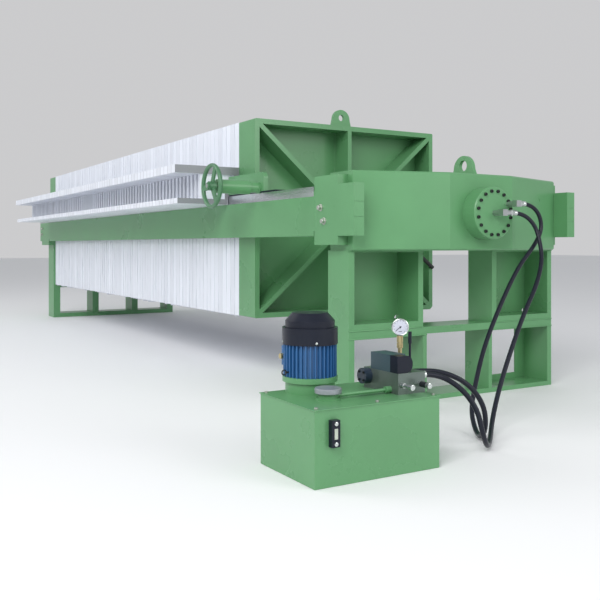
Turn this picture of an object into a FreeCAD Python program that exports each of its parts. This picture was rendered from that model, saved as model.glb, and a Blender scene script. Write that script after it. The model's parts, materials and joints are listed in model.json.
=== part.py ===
"""Hydraulic plate filter press, 1500 mm class, with its power pack.

Millimetres. X runs across the press, Y along it from the cylinder end to the fixed head,
Z up. The origin is on the floor at the centre of the cylinder-end stand's foot.
"""
import FreeCAD, Part
import math
import os

V = FreeCAD.Vector

# ---- stands (welded plate, the same design at both ends) ----
stand_half_width = 876.0
stand_depth = 234.0
base_plate_thickness = 30.0
mid_plate_thickness = 45.0
mid_plate_underside = 430.0
flange_thickness = 40.0
lower_inner_flange_inside = 270.0
lower_inner_flange_thickness = 30.0
window_plate_thickness = 12.0
window_side_margin = 90.0
window_end_margin = 40.0
anchor_slot_width = 22.0
anchor_slot_length = 50.0
anchor_slot_row_half = 50.0
anchor_slot_inner = 400.0
anchor_slot_outer = 660.0

# ---- upper legs that carry the crosshead ----
upper_foot_thickness = 40.0
upper_inner_flange_inside = 300.0
upper_web_thickness = 15.0
cope_radius = 26.0

# ---- crosshead (cylinder beam) ----
crosshead_below_beam = 90.0
crosshead_height = 488.0
crosshead_half_width = 869.0
crosshead_flat_half = 267.0
crosshead_front = 337.0
crosshead_end_front = 147.0
crosshead_back = 100.0
crosshead_edge_bevel = 10.0

# ---- side beams with T-heads ----
beam_thickness = 73.0
beam_below_axis = 145.0
beam_height = 253.0
beam_neck_rise = 32.0
head_joint_levels = (1169.0, 1260.0)
head_joint_depth = 3.0
neck_front = 93.0
neck_back = 183.0
head_front = 267.0
head_height = 314.0
beam_overrun = 207.0
rail_height = 62.0
keeper_upper_height = 90.0
keeper_lower_height = 87.0
keeper_back = 175.0

# ---- plate pack ----
plate_half_width = 852.0
plate_underside = 455.0
plate_height = 1494.0
plate_count = 76
plate_pitch = 75.3
plate_gap = 0.4
plates_per_node = 19
handle_foot_depth = 43.0
handle_over_rail_clear = 4.0
handle_lip_drop = 60.0
handle_lip_height = 40.0
handle_lower_reach = 1360.0
handle_upper_reach = 1380.0
handle_upper_height = 60.0
handle_height = 228.0
handle_web_reach = 1170.0
handle_web_thickness = 40.0
handle_shoulder = 28.0
plate_edge_bevel = 3.0

# ---- follower (moving head) ----
follower_front = 1161.0
follower_depth = 266.0
follower_plate_thickness = 76.0
follower_edge = 38.0
rib_thickness = 36.0
hub_radius = 150.0
head_corner_radius = 10.0
follower_corner_cut = 25.0
follower_to_pack = 0.4

# ---- fixed head ----
fixed_head_depth = 297.0
fixed_plate_thickness = 70.0
beam_pad_height = 200.0
feed_bore_radius = 50.0
feed_pipe_radius = 66.0
feed_flange_radius = 125.0
feed_flange_thickness = 24.0
feed_reach = 90.0
beam_seat_height = 55.0
beam_seat_back = 117.0
far_stand_depth = 290.0
far_bottom_height = 56.0
far_top_underside = 415.0
far_outer_post = 90.0
far_inner_post = (245.0, 332.0)

# ---- lifting lugs ----
lug_thickness = 25.0
crosshead_lug_width = 215.0
crosshead_lug_height = 130.0
crosshead_lug_round = 90.0
crosshead_lug_hole_rise = 64.0
crosshead_lug_hole_radius = 36.0
crosshead_lug_y = -173.0
follower_lug_width = 195.0
follower_lug_height = 150.0
follower_lug_round = 80.0
follower_lug_hole_rise = 84.0
follower_lug_hole_radius = 26.0

# ---- hydraulic cylinder ----
barrel_radius = 165.0
barrel_bore_radius = 125.0
barrel_proud = 50.0
cap_thickness = 60.0
cap_lip = 12.0
cylinder_clearance = 0.3
barrel_back = 420.0
gland_radius = 205.0
gland_thickness = 50.0
piston_radius = 124.5
piston_length = 50.0
piston_front = 350.0
ram_radius = 110.0
ram_running_clearance = 0.05
ram_head_radius = 140.0
ram_head_thickness = 30.0
port_radius = 17.0
port_length = 75.0
port_elbow_side = 40.0
port_upper_x = 116.0
port_upper_rise = 59.0
port_arm_radius = 16.0
port_centre_arm = 55.0
port_upper_arm = 14.0

# ---- follower carriages on the rails ----
shoe_thickness = 12.0
shoe_front = 683.0
shoe_clearance = 0.3
carriage_front = 858.0
carriage_plate_thickness = 37.0
carriage_plate_height = 138.0
carriage_corner_radius = 45.0

# ---- handwheel on the left carriage ----
wheel_y = 933.0
wheel_rise = 38.0
wheel_rim_radius = 142.5
wheel_rim_section = 15.0
wheel_plane = 1307.0
wheel_hub_radius = 32.0
wheel_hub_length = 48.0
wheel_spokes = 3
spoke_width = 40.0
spoke_thickness = 12.0
shaft_radius = 15.0
shaft_clearance = 0.06
sleeve_radius = 49.0
sleeve_outer_end = 1270.0
sleeve_step = 1022.0
neck_sleeve_radius = 37.5
sleeve_ring_radius = 42.0
sleeve_ring_width = 14.0

# ---- round bar on the front of the follower's right side frame ----
side_bar_radius = 16.5
side_bar_inner_x = 718.0
side_bar_inner_z = 902.0
side_bar_outer_x = 840.0
side_bar_outer_z = 809.0

# ---- power pack ----
tank_left = -1891.0
tank_right = -1231.0
tank_front = -1362.0
tank_back = -892.0
tank_height = 321.0
tank_wall = 5.0
lid_thickness = 4.0
lid_overhang = 5.0
motor_x = -1678.0
motor_y = -977.0
bell_radius = 115.0
bell_height = 51.0
motor_flange_radius = 128.0
motor_flange_height = 24.0
motor_body_radius = 110.0
motor_fin_radius = 124.0
motor_fin_width = 5.0
motor_fin_count = 36
motor_body_height = 147.0
cowl_radius = 129.0
cowl_height = 76.0
cowl_cover_radius = 115.0
cowl_cover_band = 31.0
cowl_cover_bevel = 36.0
cowl_cover_top_radius = 83.0
terminal_box_side = 92.0
terminal_box_depth = 62.0
terminal_box_saddle = 12.0
gland_nut_radius = 13.0
gland_nut_length = 26.0
filler_x = -1712.0
filler_y = -1185.0
filler_flange_radius = 56.0
filler_flange_height = 9.0
filler_neck_radius = 45.0
filler_neck_height = 18.0
filler_cap_radius = 60.0
filler_cap_height = 24.0
filler_cap_bevel = 3.0
manifold_left = -1390.0
manifold_right = -1235.0
manifold_front = -1267.0
manifold_back = -1002.0
manifold_height = 95.0
transfer_pipe_radius = 7.5
transfer_pipe_rise = 18.0
transfer_pipe_y = -1207.0
valve_width = 87.0
valve_height = 78.0
valve_inset = 5.0
valve_body_length = 150.0
valve_coil_length = 55.0
valve_coil_round = 34.0
valve_pin_radius = 5.0
valve_pin_length = 12.0
relief_radius = 37.0
relief_length = 38.0
relief_rise = 58.0
relief_y = -1035.0
adjuster_length = 80.0
adjuster_base_radius = 12.0
adjuster_base_length = 20.0
adjuster_cap_radius = 13.5
adjuster_cap_length = 18.0
adjuster_left_radius = 8.0
adjuster_right_radius = 13.0
adjuster_rise = 43.0
adjuster_left_x = -1370.0
adjuster_right_x = -1273.0
gauge_x = -1264.0
gauge_y = -1117.0
gauge_radius = 40.0
gauge_depth = 30.0
gauge_centre_height = 613.0
gauge_turn = 30.7
gauge_stem_radius = 10.0
gauge_nut_radius = 15.0
gauge_nut_spans = ((514.0, 537.0), (540.0, 571.0))
hand_lever_x = -1250.0
hand_lever_y = -1175.0
hand_lever_radius = 5.5
hand_grip_radius = 8.5
hand_grip_bottom = 540.0
hand_lever_top = 595.0
level_gauge_x = -1803.0
level_gauge_width = 40.0
level_gauge_height = 112.0
level_gauge_depth = 27.0
level_gauge_bottom = 168.0
outlet_radius = 16.0
outlet_length = 45.0
outlet_rear_y = -1067.0
outlet_front_y = -1167.0
outlet_rise = 61.0

# ---- hoses ----
hose_radius = 13.0

# ---- sizes that follow from the ones above ----
axis_height = plate_underside + plate_height / 2
beam_underside = axis_height - beam_below_axis
crosshead_underside = beam_underside - crosshead_below_beam
crosshead_top = crosshead_underside + crosshead_height
stand_front = -stand_depth / 2
stand_back = stand_depth / 2
mid_plate_top = mid_plate_underside + mid_plate_thickness
upper_foot_top = mid_plate_top + upper_foot_thickness
beam_outside = crosshead_half_width + beam_thickness
beam_top = beam_underside + beam_height
rail_top = beam_top + rail_height
plate_top = plate_underside + plate_height
follower_back = follower_front + follower_depth
pack_front = follower_back + follower_to_pack
pack_back = pack_front + plate_count * plate_pitch
fixed_front = pack_back
fixed_back = fixed_front + fixed_head_depth
beam_end = fixed_back + beam_overrun
far_stand_back = fixed_front + far_stand_depth
lid_top = tank_height + lid_thickness
manifold_top = lid_top + manifold_height
motor_low = lid_top + bell_height + motor_flange_height
motor_high = motor_low + motor_body_height
filler_neck_low = lid_top + filler_flange_height
filler_neck_high = filler_neck_low + filler_neck_height


def box(x0, x1, y0, y1, z0, z1):
    """A block between two corners."""
    return Part.makeBox(x1 - x0, y1 - y0, z1 - z0, V(x0, y0, z0))


def cylinder(radius, length, start, direction):
    """A round bar from a point, along a direction."""
    return Part.makeCylinder(radius, length, V(*start), V(*direction))


def extrude_xz(points, y0, y1):
    """An outline in X and Z, run from y0 to y1."""
    loop = [V(x, y0, z) for x, z in points]
    return Part.Face(Part.makePolygon(loop + loop[:1])).extrude(V(0, y1 - y0, 0))


def extrude_yz(points, x0, x1):
    """An outline in Y and Z, run from x0 to x1."""
    loop = [V(x0, y, z) for y, z in points]
    return Part.Face(Part.makePolygon(loop + loop[:1])).extrude(V(x1 - x0, 0, 0))


def extrude_xy(points, z0, z1):
    """An outline in X and Y, run from z0 to z1."""
    loop = [V(x, y, z0) for x, y in points]
    return Part.Face(Part.makePolygon(loop + loop[:1])).extrude(V(0, 0, z1 - z0))


def mirrored(shape):
    """The same piece on the other side of the press."""
    return shape.mirror(V(0, 0, 0), V(1, 0, 0))


def sides(side, near, far):
    """Lowest and highest X of a stretch from near to far out, on side -1 or +1."""
    return (near, far) if side > 0 else (-far, -near)


def write(node, *solids):
    """One STEP file for one sub-part."""
    shape = solids[0] if len(solids) == 1 else Part.makeCompound(list(solids))
    shape.exportStep(os.path.join("parts", node + ".step"))


# ---------------------------------------------------------------- stands
def anchor_slot(x, y):
    """A slot along X through the base plate."""
    half = (anchor_slot_length - anchor_slot_width) / 2
    depth = base_plate_thickness
    radius = anchor_slot_width / 2
    slot = box(x - half, x + half, y - radius, y + radius, 0, depth)
    for end in (-half, half):
        slot = slot.fuse(cylinder(radius, depth, (x + end, y, 0), (0, 0, 1)))
    return slot.removeSplitter()


def base_plate():
    """The full-width foot plate, with slots for anchor bolts."""
    plate = box(-stand_half_width, stand_half_width, stand_front, stand_back, 0, base_plate_thickness)
    for column in (anchor_slot_inner, anchor_slot_outer):
        for x in (-column, column):
            for row in (-anchor_slot_row_half, anchor_slot_row_half):
                plate = plate.cut(anchor_slot(x, row))
    return plate


def lower_leg(side):
    """Two flanges and the cut-out plate behind them, between base plate and mid plate."""
    front, back = stand_front, stand_back
    low, high = base_plate_thickness, mid_plate_underside
    inner_edge = lower_inner_flange_inside + lower_inner_flange_thickness
    outer_edge = stand_half_width - flange_thickness
    inner = box(*sides(side, lower_inner_flange_inside, inner_edge), front, back, low, high)
    outer = box(*sides(side, outer_edge, stand_half_width), front, back, low, high)
    plate = box(*sides(side, inner_edge, outer_edge), back - window_plate_thickness, back, low, high)
    window = box(*sides(side, inner_edge, outer_edge - window_side_margin),
                 back - window_plate_thickness, back, low + window_end_margin, high - window_end_margin)
    return inner.fuse([outer, plate.cut(window)]).removeSplitter()


def mid_plate():
    """The full-width plate on the lower legs."""
    return box(-stand_half_width, stand_half_width, stand_front, stand_back, mid_plate_underside,
               mid_plate_top)


def upper_leg(side):
    """A channel of two flanges and a rear web on its own foot, up to the crosshead."""
    inner_edge = upper_inner_flange_inside + flange_thickness
    outer_edge = stand_half_width - flange_thickness
    low, high = upper_foot_top, crosshead_underside
    foot = box(*sides(side, upper_inner_flange_inside, stand_half_width), stand_front, stand_back,
               mid_plate_top, low)
    inner = box(*sides(side, upper_inner_flange_inside, inner_edge), stand_front, stand_back, low, high)
    outer = box(*sides(side, outer_edge, stand_half_width), stand_front, stand_back, low, high)
    web_front = stand_back - upper_web_thickness
    web = box(*sides(side, inner_edge, outer_edge), web_front, stand_back, low, high)
    for corner in (inner_edge, outer_edge):
        web = web.cut(cylinder(cope_radius, upper_web_thickness, (side * corner, web_front, low), (0, 1, 0)))
    return foot.fuse([inner, outer, web]).removeSplitter()


# ---------------------------------------------------------------- crosshead and beams
def crosshead():
    """The box beam that holds the cylinder, deepest across its middle."""
    plan = [(-crosshead_half_width, crosshead_back), (-crosshead_half_width, -crosshead_end_front),
            (-crosshead_flat_half, -crosshead_front), (crosshead_flat_half, -crosshead_front),
            (crosshead_half_width, -crosshead_end_front), (crosshead_half_width, crosshead_back)]
    body = extrude_xy(plan, crosshead_underside, crosshead_top)
    rims = [e for e in body.Edges if abs(e.BoundBox.ZMax - e.BoundBox.ZMin) < 1
            and e.BoundBox.YMin < -crosshead_end_front]
    body = body.makeChamfer(crosshead_edge_bevel, rims)
    length = crosshead_front + crosshead_back
    radius = barrel_radius + cylinder_clearance
    body = body.cut(cylinder(radius, length, (0, -crosshead_front, axis_height), (0, 1, 0)))
    eye = lug(crosshead_lug_width, crosshead_lug_height, crosshead_lug_round,
              crosshead_lug_hole_rise, crosshead_lug_hole_radius)
    eye.rotate(V(0, 0, 0), V(0, 0, 1), 90)
    eye.translate(V(0, crosshead_lug_y, crosshead_top))
    return body.fuse(eye)


def keeper_blocks():
    """Blocks welded above and below each beam's neck, which the T-head pulls against."""
    neck_top = beam_top + beam_neck_rise
    neck_low = beam_underside + beam_neck_rise
    blocks = []
    for side in (-1, 1):
        x0, x1 = sides(side, crosshead_half_width, beam_outside)
        blocks.append(box(x0, x1, -neck_front, keeper_back, neck_top, neck_top + keeper_upper_height))
        blocks.append(box(x0, x1, -neck_front, keeper_back, neck_low - keeper_lower_height, neck_low))
    return blocks


def side_beam(side):
    """The tie bar: a flat bar with a raised neck and a T-head at the cylinder end."""
    neck_top = beam_top + beam_neck_rise
    neck_low = beam_underside + beam_neck_rise
    head_top = beam_underside + head_height
    outline = [(beam_end, beam_underside), (beam_end, beam_top), (neck_back, beam_top),
               (neck_back, neck_top), (-neck_front, neck_top), (-neck_front, head_top),
               (-head_front, head_top), (-head_front, beam_underside), (-neck_front, beam_underside),
               (-neck_front, neck_low), (neck_back, neck_low), (neck_back, beam_underside)]
    x0, x1 = sides(side, crosshead_half_width, beam_outside)
    beam = extrude_yz(outline, x0, x1)
    for level in head_joint_levels:
        half = head_joint_depth / 2
        joint = box(x0, x1, -head_front, -head_front + head_joint_depth, level - half, level + half)
        beam = beam.cut(joint)
    return beam


def rail(side):
    """The stainless wear bar on top of the beam, where the plate handles rest."""
    return box(*sides(side, crosshead_half_width, beam_outside), neck_back, beam_end, beam_top, rail_top)


# ---------------------------------------------------------------- lifting lugs
def lug(width, height, top_radius, hole_rise, hole_radius):
    """A lug plate across the press, standing on z = 0: leaning sides, round top, round hole."""
    half = width / 2
    round_centre = height - top_radius
    front = -lug_thickness / 2
    foot = extrude_xz([(-half, 0), (half, 0), (top_radius, round_centre), (-top_radius, round_centre)],
                      front, -front)
    top = cylinder(top_radius, lug_thickness, (0, front, round_centre), (0, 1, 0))
    hole = cylinder(hole_radius, lug_thickness, (0, front, hole_rise), (0, 1, 0))
    below = box(-half, half, front, -front, -top_radius, 0)
    return foot.fuse(top).cut(below).cut(hole).removeSplitter()


# ---------------------------------------------------------------- cylinder
def cylinder_barrel():
    """The barrel, let into the crosshead and standing proud at the front."""
    front = -crosshead_front - barrel_proud
    length = barrel_back - front
    outer = cylinder(barrel_radius, length, (0, front, axis_height), (0, 1, 0))
    return outer.cut(cylinder(barrel_bore_radius, length, (0, front, axis_height), (0, 1, 0)))


def cylinder_cap():
    """The end cap on the barrel, with a turned rim."""
    front = -crosshead_front - barrel_proud - cap_thickness
    cap = cylinder(barrel_radius, cap_thickness, (0, front, axis_height), (0, 1, 0))
    rim = [e for e in cap.Edges if abs(e.BoundBox.YMax - front) < 0.01]
    return cap.makeChamfer(cap_lip / 2, rim)


def gland():
    """The ring on the barrel's back end that guides the ram."""
    start = (0, barrel_back, axis_height)
    ring = cylinder(gland_radius, gland_thickness, start, (0, 1, 0))
    return ring.cut(cylinder(ram_radius + ram_running_clearance, gland_thickness, start, (0, 1, 0)))


def ram():
    """Piston, rod and the head that bears on the follower's hub."""
    start = (0, piston_front, axis_height)
    piston = cylinder(piston_radius, piston_length, start, (0, 1, 0))
    rod = cylinder(ram_radius, follower_front - piston_front, start, (0, 1, 0))
    head_start = (0, follower_front - ram_head_thickness, axis_height)
    head = cylinder(ram_head_radius, ram_head_thickness, head_start, (0, 1, 0))
    return piston.fuse([rod, head]).removeSplitter()


def port_fitting(x, rise, arm_length):
    """An elbow on the cap: out of the port, then to the right."""
    face = -crosshead_front - barrel_proud - cap_thickness
    z = axis_height + rise
    stem = cylinder(port_radius, port_length, (x, face - port_length, z), (0, 1, 0))
    half = port_elbow_side / 2
    elbow = box(x - half, x + half, face - port_length - half, face - port_length + half, z - half, z + half)
    arm_start = (x + half, face - port_length, z)
    arm = cylinder(port_arm_radius, arm_length, arm_start, (1, 0, 0))
    return stem.fuse([elbow, arm]).removeSplitter()


# ---------------------------------------------------------------- plate pack
def filter_plate(index):
    """One polypropylene plate of the closed pack, its two faces bevelled all round."""
    y0 = pack_front + index * plate_pitch
    y1 = y0 + plate_pitch - plate_gap
    slab = box(-plate_half_width, plate_half_width, y0, y1, plate_underside, plate_top)
    rims = [e for e in slab.Edges if e.BoundBox.YMax - e.BoundBox.YMin < plate_pitch / 2]
    return slab.makeChamfer(plate_edge_bevel, rims)


def plate_handle(index):
    """A plate's right-hand handle: two ledges, a thinner web, and a hook over the rail."""
    y0 = pack_front + index * plate_pitch
    y1 = y0 + plate_pitch - plate_gap
    hook = beam_outside + handle_over_rail_clear
    low = rail_top - handle_lip_drop
    lip_top = low + handle_lip_height
    top = rail_top + handle_height
    upper_low = top - handle_upper_height
    shoulder = plate_half_width + handle_foot_depth
    outline = [(plate_half_width, rail_top), (hook, rail_top), (hook, low), (handle_lower_reach, low),
               (handle_lower_reach, lip_top), (hook + handle_shoulder, lip_top),
               (hook + handle_shoulder, rail_top + handle_shoulder), (shoulder, rail_top + handle_shoulder),
               (shoulder, upper_low), (handle_upper_reach, upper_low), (handle_upper_reach, top),
               (plate_half_width, top)]
    handle = extrude_xz(outline, y0, y1)
    middle = (y0 + y1) / 2
    half = handle_web_thickness / 2
    upper_web = box(shoulder, handle_web_reach, middle - half, middle + half,
                    rail_top + handle_shoulder, upper_low)
    outer_web = box(hook + handle_shoulder, handle_web_reach, middle - half, middle + half,
                    lip_top, upper_low)
    return handle.fuse([upper_web, outer_web]).removeSplitter()


# ---------------------------------------------------------------- heads
def head_ring(y0, y1):
    """The rectangular frame of a pressure head, with rounded long edges."""
    outer = box(-plate_half_width, plate_half_width, y0, y1, plate_underside, plate_top)
    long_edges = [e for e in outer.Edges if abs(e.BoundBox.YMax - e.BoundBox.YMin) > 1]
    outer = outer.makeFillet(head_corner_radius, long_edges)
    inner = box(-plate_half_width + follower_edge, plate_half_width - follower_edge, y0, y1,
                plate_underside + follower_edge, plate_top - follower_edge)
    return outer.cut(inner)


def head_ribs(y0, y1):
    """A centre rib, two corner-to-corner ribs and the hub where they meet."""
    half_w = plate_half_width - follower_edge
    half_h = plate_height / 2 - follower_edge
    half = rib_thickness / 2
    inside = box(-half_w, half_w, y0, y1, axis_height - half_h, axis_height + half_h)
    tilt = math.degrees(math.atan2(half_h, half_w))
    reach = math.hypot(half_w, half_h) + rib_thickness
    ribs = box(-half, half, y0, y1, axis_height - half_h, axis_height + half_h)
    for turn in (tilt, -tilt):
        rib = box(-reach, reach, y0, y1, -half, half)
        rib.rotate(V(0, 0, 0), V(0, 1, 0), turn)
        rib.translate(V(0, 0, axis_height))
        ribs = ribs.fuse(rib.common(inside))
    hub = cylinder(hub_radius, y1 - y0, (0, y0, axis_height), (0, 1, 0))
    return ribs.fuse(hub)


def head_plate(y0, y1):
    """The pressure plate inside a head's frame."""
    return box(-plate_half_width + follower_edge, plate_half_width - follower_edge, y0, y1,
               plate_underside + follower_edge, plate_top - follower_edge)


def follower():
    """The moving head: ribs towards the cylinder, flat face to the pack, and its lug."""
    plate_front = follower_back - follower_plate_thickness
    head = head_ring(follower_front, follower_back)
    head = head.fuse([head_ribs(follower_front, plate_front), head_plate(plate_front, follower_back)])
    cut = follower_corner_cut
    corner = extrude_xz([(plate_half_width - cut, plate_underside), (plate_half_width, plate_underside),
                         (plate_half_width, plate_underside + cut)], follower_front, follower_back)
    eye = lug(follower_lug_width, follower_lug_height, follower_lug_round,
              follower_lug_hole_rise, follower_lug_hole_radius)
    eye.translate(V(0, (follower_front + follower_back) / 2, plate_top))
    return head.removeSplitter().cut(corner).fuse(eye)


def fixed_head():
    """The fixed head: flat face to the pack, ribs behind, and the feed inlet's bore."""
    plate_back = fixed_front + fixed_plate_thickness
    head = head_ring(fixed_front, fixed_back)
    head = head.fuse([head_plate(fixed_front, plate_back), head_ribs(plate_back, fixed_back)])
    bore = cylinder(feed_pipe_radius, fixed_head_depth, (0, fixed_front, axis_height), (0, 1, 0))
    return head.removeSplitter().cut(bore)


def beam_pads():
    """Pads that close the gap between the fixed head's sides and the beams."""
    low = beam_underside + beam_height / 2 - beam_pad_height / 2
    return [box(*sides(side, plate_half_width, crosshead_half_width), fixed_front, fixed_back,
                low, low + beam_pad_height) for side in (-1, 1)]


def far_stand():
    """The stand under the fixed head: a foot bar, four posts and a top bar."""
    front, back = fixed_front, far_stand_back
    foot = box(-stand_half_width, stand_half_width, front, back, 0, far_bottom_height)
    top = box(-stand_half_width, stand_half_width, front, back, far_top_underside, plate_underside)
    posts = []
    for side in (-1, 1):
        for near, far in (far_inner_post, (stand_half_width - far_outer_post, stand_half_width)):
            posts.append(box(*sides(side, near, far), front, back, far_bottom_height, far_top_underside))
    return foot.fuse([top] + posts).removeSplitter()


def far_upper_legs():
    """Flat legs beside the fixed head, each with a seat for its beam."""
    seat_low = beam_underside - beam_seat_height
    legs = []
    for side in (-1, 1):
        leg = box(*sides(side, plate_half_width, stand_half_width), fixed_front, far_stand_back,
                  plate_underside, seat_low)
        seat = box(*sides(side, plate_half_width, beam_outside), fixed_front,
                   far_stand_back + beam_seat_back, seat_low, beam_underside)
        legs.append(leg.fuse(seat).removeSplitter())
    return legs


def feed_nozzle():
    """The slurry inlet through the middle of the fixed head, with its flange."""
    reach = fixed_back + feed_reach
    pipe = cylinder(feed_pipe_radius, reach - fixed_front, (0, fixed_front, axis_height), (0, 1, 0))
    flange_start = (0, reach - feed_flange_thickness, axis_height)
    flange = cylinder(feed_flange_radius, feed_flange_thickness, flange_start, (0, 1, 0))
    bore = cylinder(feed_bore_radius, reach - fixed_front, (0, fixed_front, axis_height), (0, 1, 0))
    return pipe.fuse(flange).cut(bore)


# ---------------------------------------------------------------- follower carriages and handwheel
def carriage(side):
    """The bracket that carries one side of the follower on the rail."""
    low = rail_top + shoe_clearance + shoe_thickness
    outer = crosshead_half_width + beam_thickness
    x0, x1 = sides(side, outer - carriage_plate_thickness, outer)
    plate = box(x0, x1, carriage_front, follower_back, low, low + carriage_plate_height)
    corner = [e for e in plate.Edges if abs(e.BoundBox.XMax - e.BoundBox.XMin) > 1
              and abs(e.BoundBox.YMax - carriage_front) < 0.01 and e.BoundBox.ZMin > low + 1]
    plate = plate.makeFillet(carriage_corner_radius, corner)
    arm = box(*sides(side, plate_half_width, outer - carriage_plate_thickness), follower_front, follower_back,
              low, low + carriage_plate_height - carriage_corner_radius)
    bracket = plate.fuse(arm).removeSplitter()
    if side < 0:
        hole = cylinder(shaft_radius + shaft_clearance, carriage_plate_thickness,
                        (x0, wheel_y, rail_top + wheel_rise), (1, 0, 0))
        bracket = bracket.cut(hole)
    return bracket


def shoe(side):
    """The black slide strip under a carriage, just clear of the rail."""
    low = rail_top + shoe_clearance
    return box(*sides(side, crosshead_half_width, beam_outside), shoe_front, follower_back - shoe_thickness,
               low, low + shoe_thickness)


def handwheel_sleeve():
    """The bearing sleeve outside the left carriage: a ring, a bare neck and the wide tube."""
    z = rail_top + wheel_rise
    start = -beam_outside
    ring = cylinder(sleeve_ring_radius, sleeve_ring_width, (start, wheel_y, z), (-1, 0, 0))
    neck = cylinder(neck_sleeve_radius, sleeve_step - beam_outside, (start, wheel_y, z), (-1, 0, 0))
    tube = cylinder(sleeve_radius, sleeve_outer_end - sleeve_step, (-sleeve_step, wheel_y, z), (-1, 0, 0))
    bore = cylinder(shaft_radius + shaft_clearance, sleeve_outer_end - beam_outside, (start, wheel_y, z),
                    (-1, 0, 0))
    return ring.fuse([neck, tube]).removeSplitter().cut(bore)


def handwheel():
    """A rim, three flat spokes and a hub."""
    z = rail_top + wheel_rise
    centre = V(-wheel_plane, wheel_y, z)
    rim = Part.makeTorus(wheel_rim_radius, wheel_rim_section, centre, V(1, 0, 0))
    hub_start = (-wheel_plane - wheel_hub_length / 2, wheel_y, z)
    hub = cylinder(wheel_hub_radius, wheel_hub_length, hub_start, (1, 0, 0))
    wheel = rim.fuse(hub)
    for index in range(wheel_spokes):
        spoke = box(-wheel_plane - spoke_thickness / 2, -wheel_plane + spoke_thickness / 2,
                    wheel_y - spoke_width / 2, wheel_y + spoke_width / 2, z, z + wheel_rim_radius)
        spoke.rotate(centre, V(1, 0, 0), 25 + index * 360 / wheel_spokes)
        wheel = wheel.fuse(spoke)
    shaft_start = (-wheel_plane - wheel_hub_length, wheel_y, z)
    shaft = cylinder(shaft_radius, wheel_hub_length * 2, shaft_start, (1, 0, 0))
    return wheel.cut(shaft).removeSplitter()


def handwheel_shaft():
    """The shaft from the hub through the sleeve and the carriage plate."""
    z = rail_top + wheel_rise
    outer = wheel_plane + wheel_hub_length / 2 + shaft_radius
    inner = beam_outside - carriage_plate_thickness
    return cylinder(shaft_radius, outer - inner, (-outer, wheel_y, z), (1, 0, 0))


def side_bar():
    """The dark round bar that slants across the front of the follower's right side frame."""
    y = follower_front - side_bar_radius
    inner = V(side_bar_inner_x, y, side_bar_inner_z)
    outer = V(side_bar_outer_x, y, side_bar_outer_z)
    return Part.makeCylinder(side_bar_radius, inner.distanceToPoint(outer), inner, outer - inner)


# ---------------------------------------------------------------- power pack
def tank():
    """The oil tank: an open box of sheet steel, closed by its lid."""
    outer = box(tank_left, tank_right, tank_front, tank_back, 0, tank_height)
    inner = box(tank_left + tank_wall, tank_right - tank_wall, tank_front + tank_wall, tank_back - tank_wall,
                tank_wall, tank_height)
    return outer.cut(inner)


def tank_lid():
    """The lid plate, which laps over the walls a little."""
    return box(tank_left - lid_overhang, tank_right + lid_overhang, tank_front - lid_overhang,
               tank_back + lid_overhang, tank_height, lid_top)


def bell_housing():
    """The round pump housing and the motor's flange on it."""
    bell = cylinder(bell_radius, bell_height, (motor_x, motor_y, lid_top), (0, 0, 1))
    flange = cylinder(motor_flange_radius, motor_flange_height, (motor_x, motor_y, lid_top + bell_height),
                      (0, 0, 1))
    return bell.fuse(flange).removeSplitter()


def motor_body():
    """The finned frame of the motor."""
    body = cylinder(motor_body_radius, motor_body_height, (motor_x, motor_y, motor_low), (0, 0, 1))
    fins = []
    for index in range(motor_fin_count):
        fin = box(motor_x + motor_body_radius / 2, motor_x + motor_fin_radius,
                  motor_y - motor_fin_width / 2, motor_y + motor_fin_width / 2, motor_low, motor_high)
        fin.rotate(V(motor_x, motor_y, 0), V(0, 0, 1), index * 360 / motor_fin_count)
        fins.append(fin)
    return body.fuse(fins).removeSplitter()


def motor_cowl():
    """The fan cowl and its bevelled cover, turned in one outline."""
    step = motor_high + cowl_height
    bevel = step + cowl_cover_band
    top = bevel + cowl_cover_bevel
    outline = [V(0, 0, motor_high), V(cowl_radius, 0, motor_high), V(cowl_radius, 0, step),
               V(cowl_cover_radius, 0, step), V(cowl_cover_radius, 0, bevel),
               V(cowl_cover_top_radius, 0, top), V(0, 0, top), V(0, 0, motor_high)]
    cowl = Part.Face(Part.makePolygon(outline)).revolve(V(0, 0, 0), V(0, 0, 1), 360)
    cowl.translate(V(motor_x, motor_y, 0))
    return cowl


def terminal_box():
    """The motor's terminal box on the side away from the operator, let in between the fins."""
    z = (motor_low + motor_high) / 2
    half = terminal_box_side / 2
    case = box(motor_x - half, motor_x + half, motor_y + motor_body_radius - terminal_box_saddle,
               motor_y + motor_fin_radius + terminal_box_depth, z - half, z + half)
    return case.cut(motor_body())


def cable_gland():
    """The brass gland on the terminal box's left side, where the motor's supply enters."""
    z = (motor_low + motor_high) / 2
    start = (motor_x - terminal_box_side / 2, motor_y + motor_fin_radius + terminal_box_depth / 2, z)
    return cylinder(gland_nut_radius, gland_nut_length, start, (-1, 0, 0))


def filler_neck():
    """The filler's flange and neck on the lid."""
    flange = cylinder(filler_flange_radius, filler_flange_height, (filler_x, filler_y, lid_top), (0, 0, 1))
    neck = cylinder(filler_neck_radius, filler_neck_height, (filler_x, filler_y, filler_neck_low), (0, 0, 1))
    return flange.fuse(neck).removeSplitter()


def filler_cap():
    """The flat breather cap on the neck, wider than it."""
    cap = cylinder(filler_cap_radius, filler_cap_height, (filler_x, filler_y, filler_neck_high), (0, 0, 1))
    rims = [e for e in cap.Edges if e.BoundBox.ZMax - e.BoundBox.ZMin < filler_cap_height / 2]
    return cap.makeChamfer(filler_cap_bevel, rims)


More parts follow.
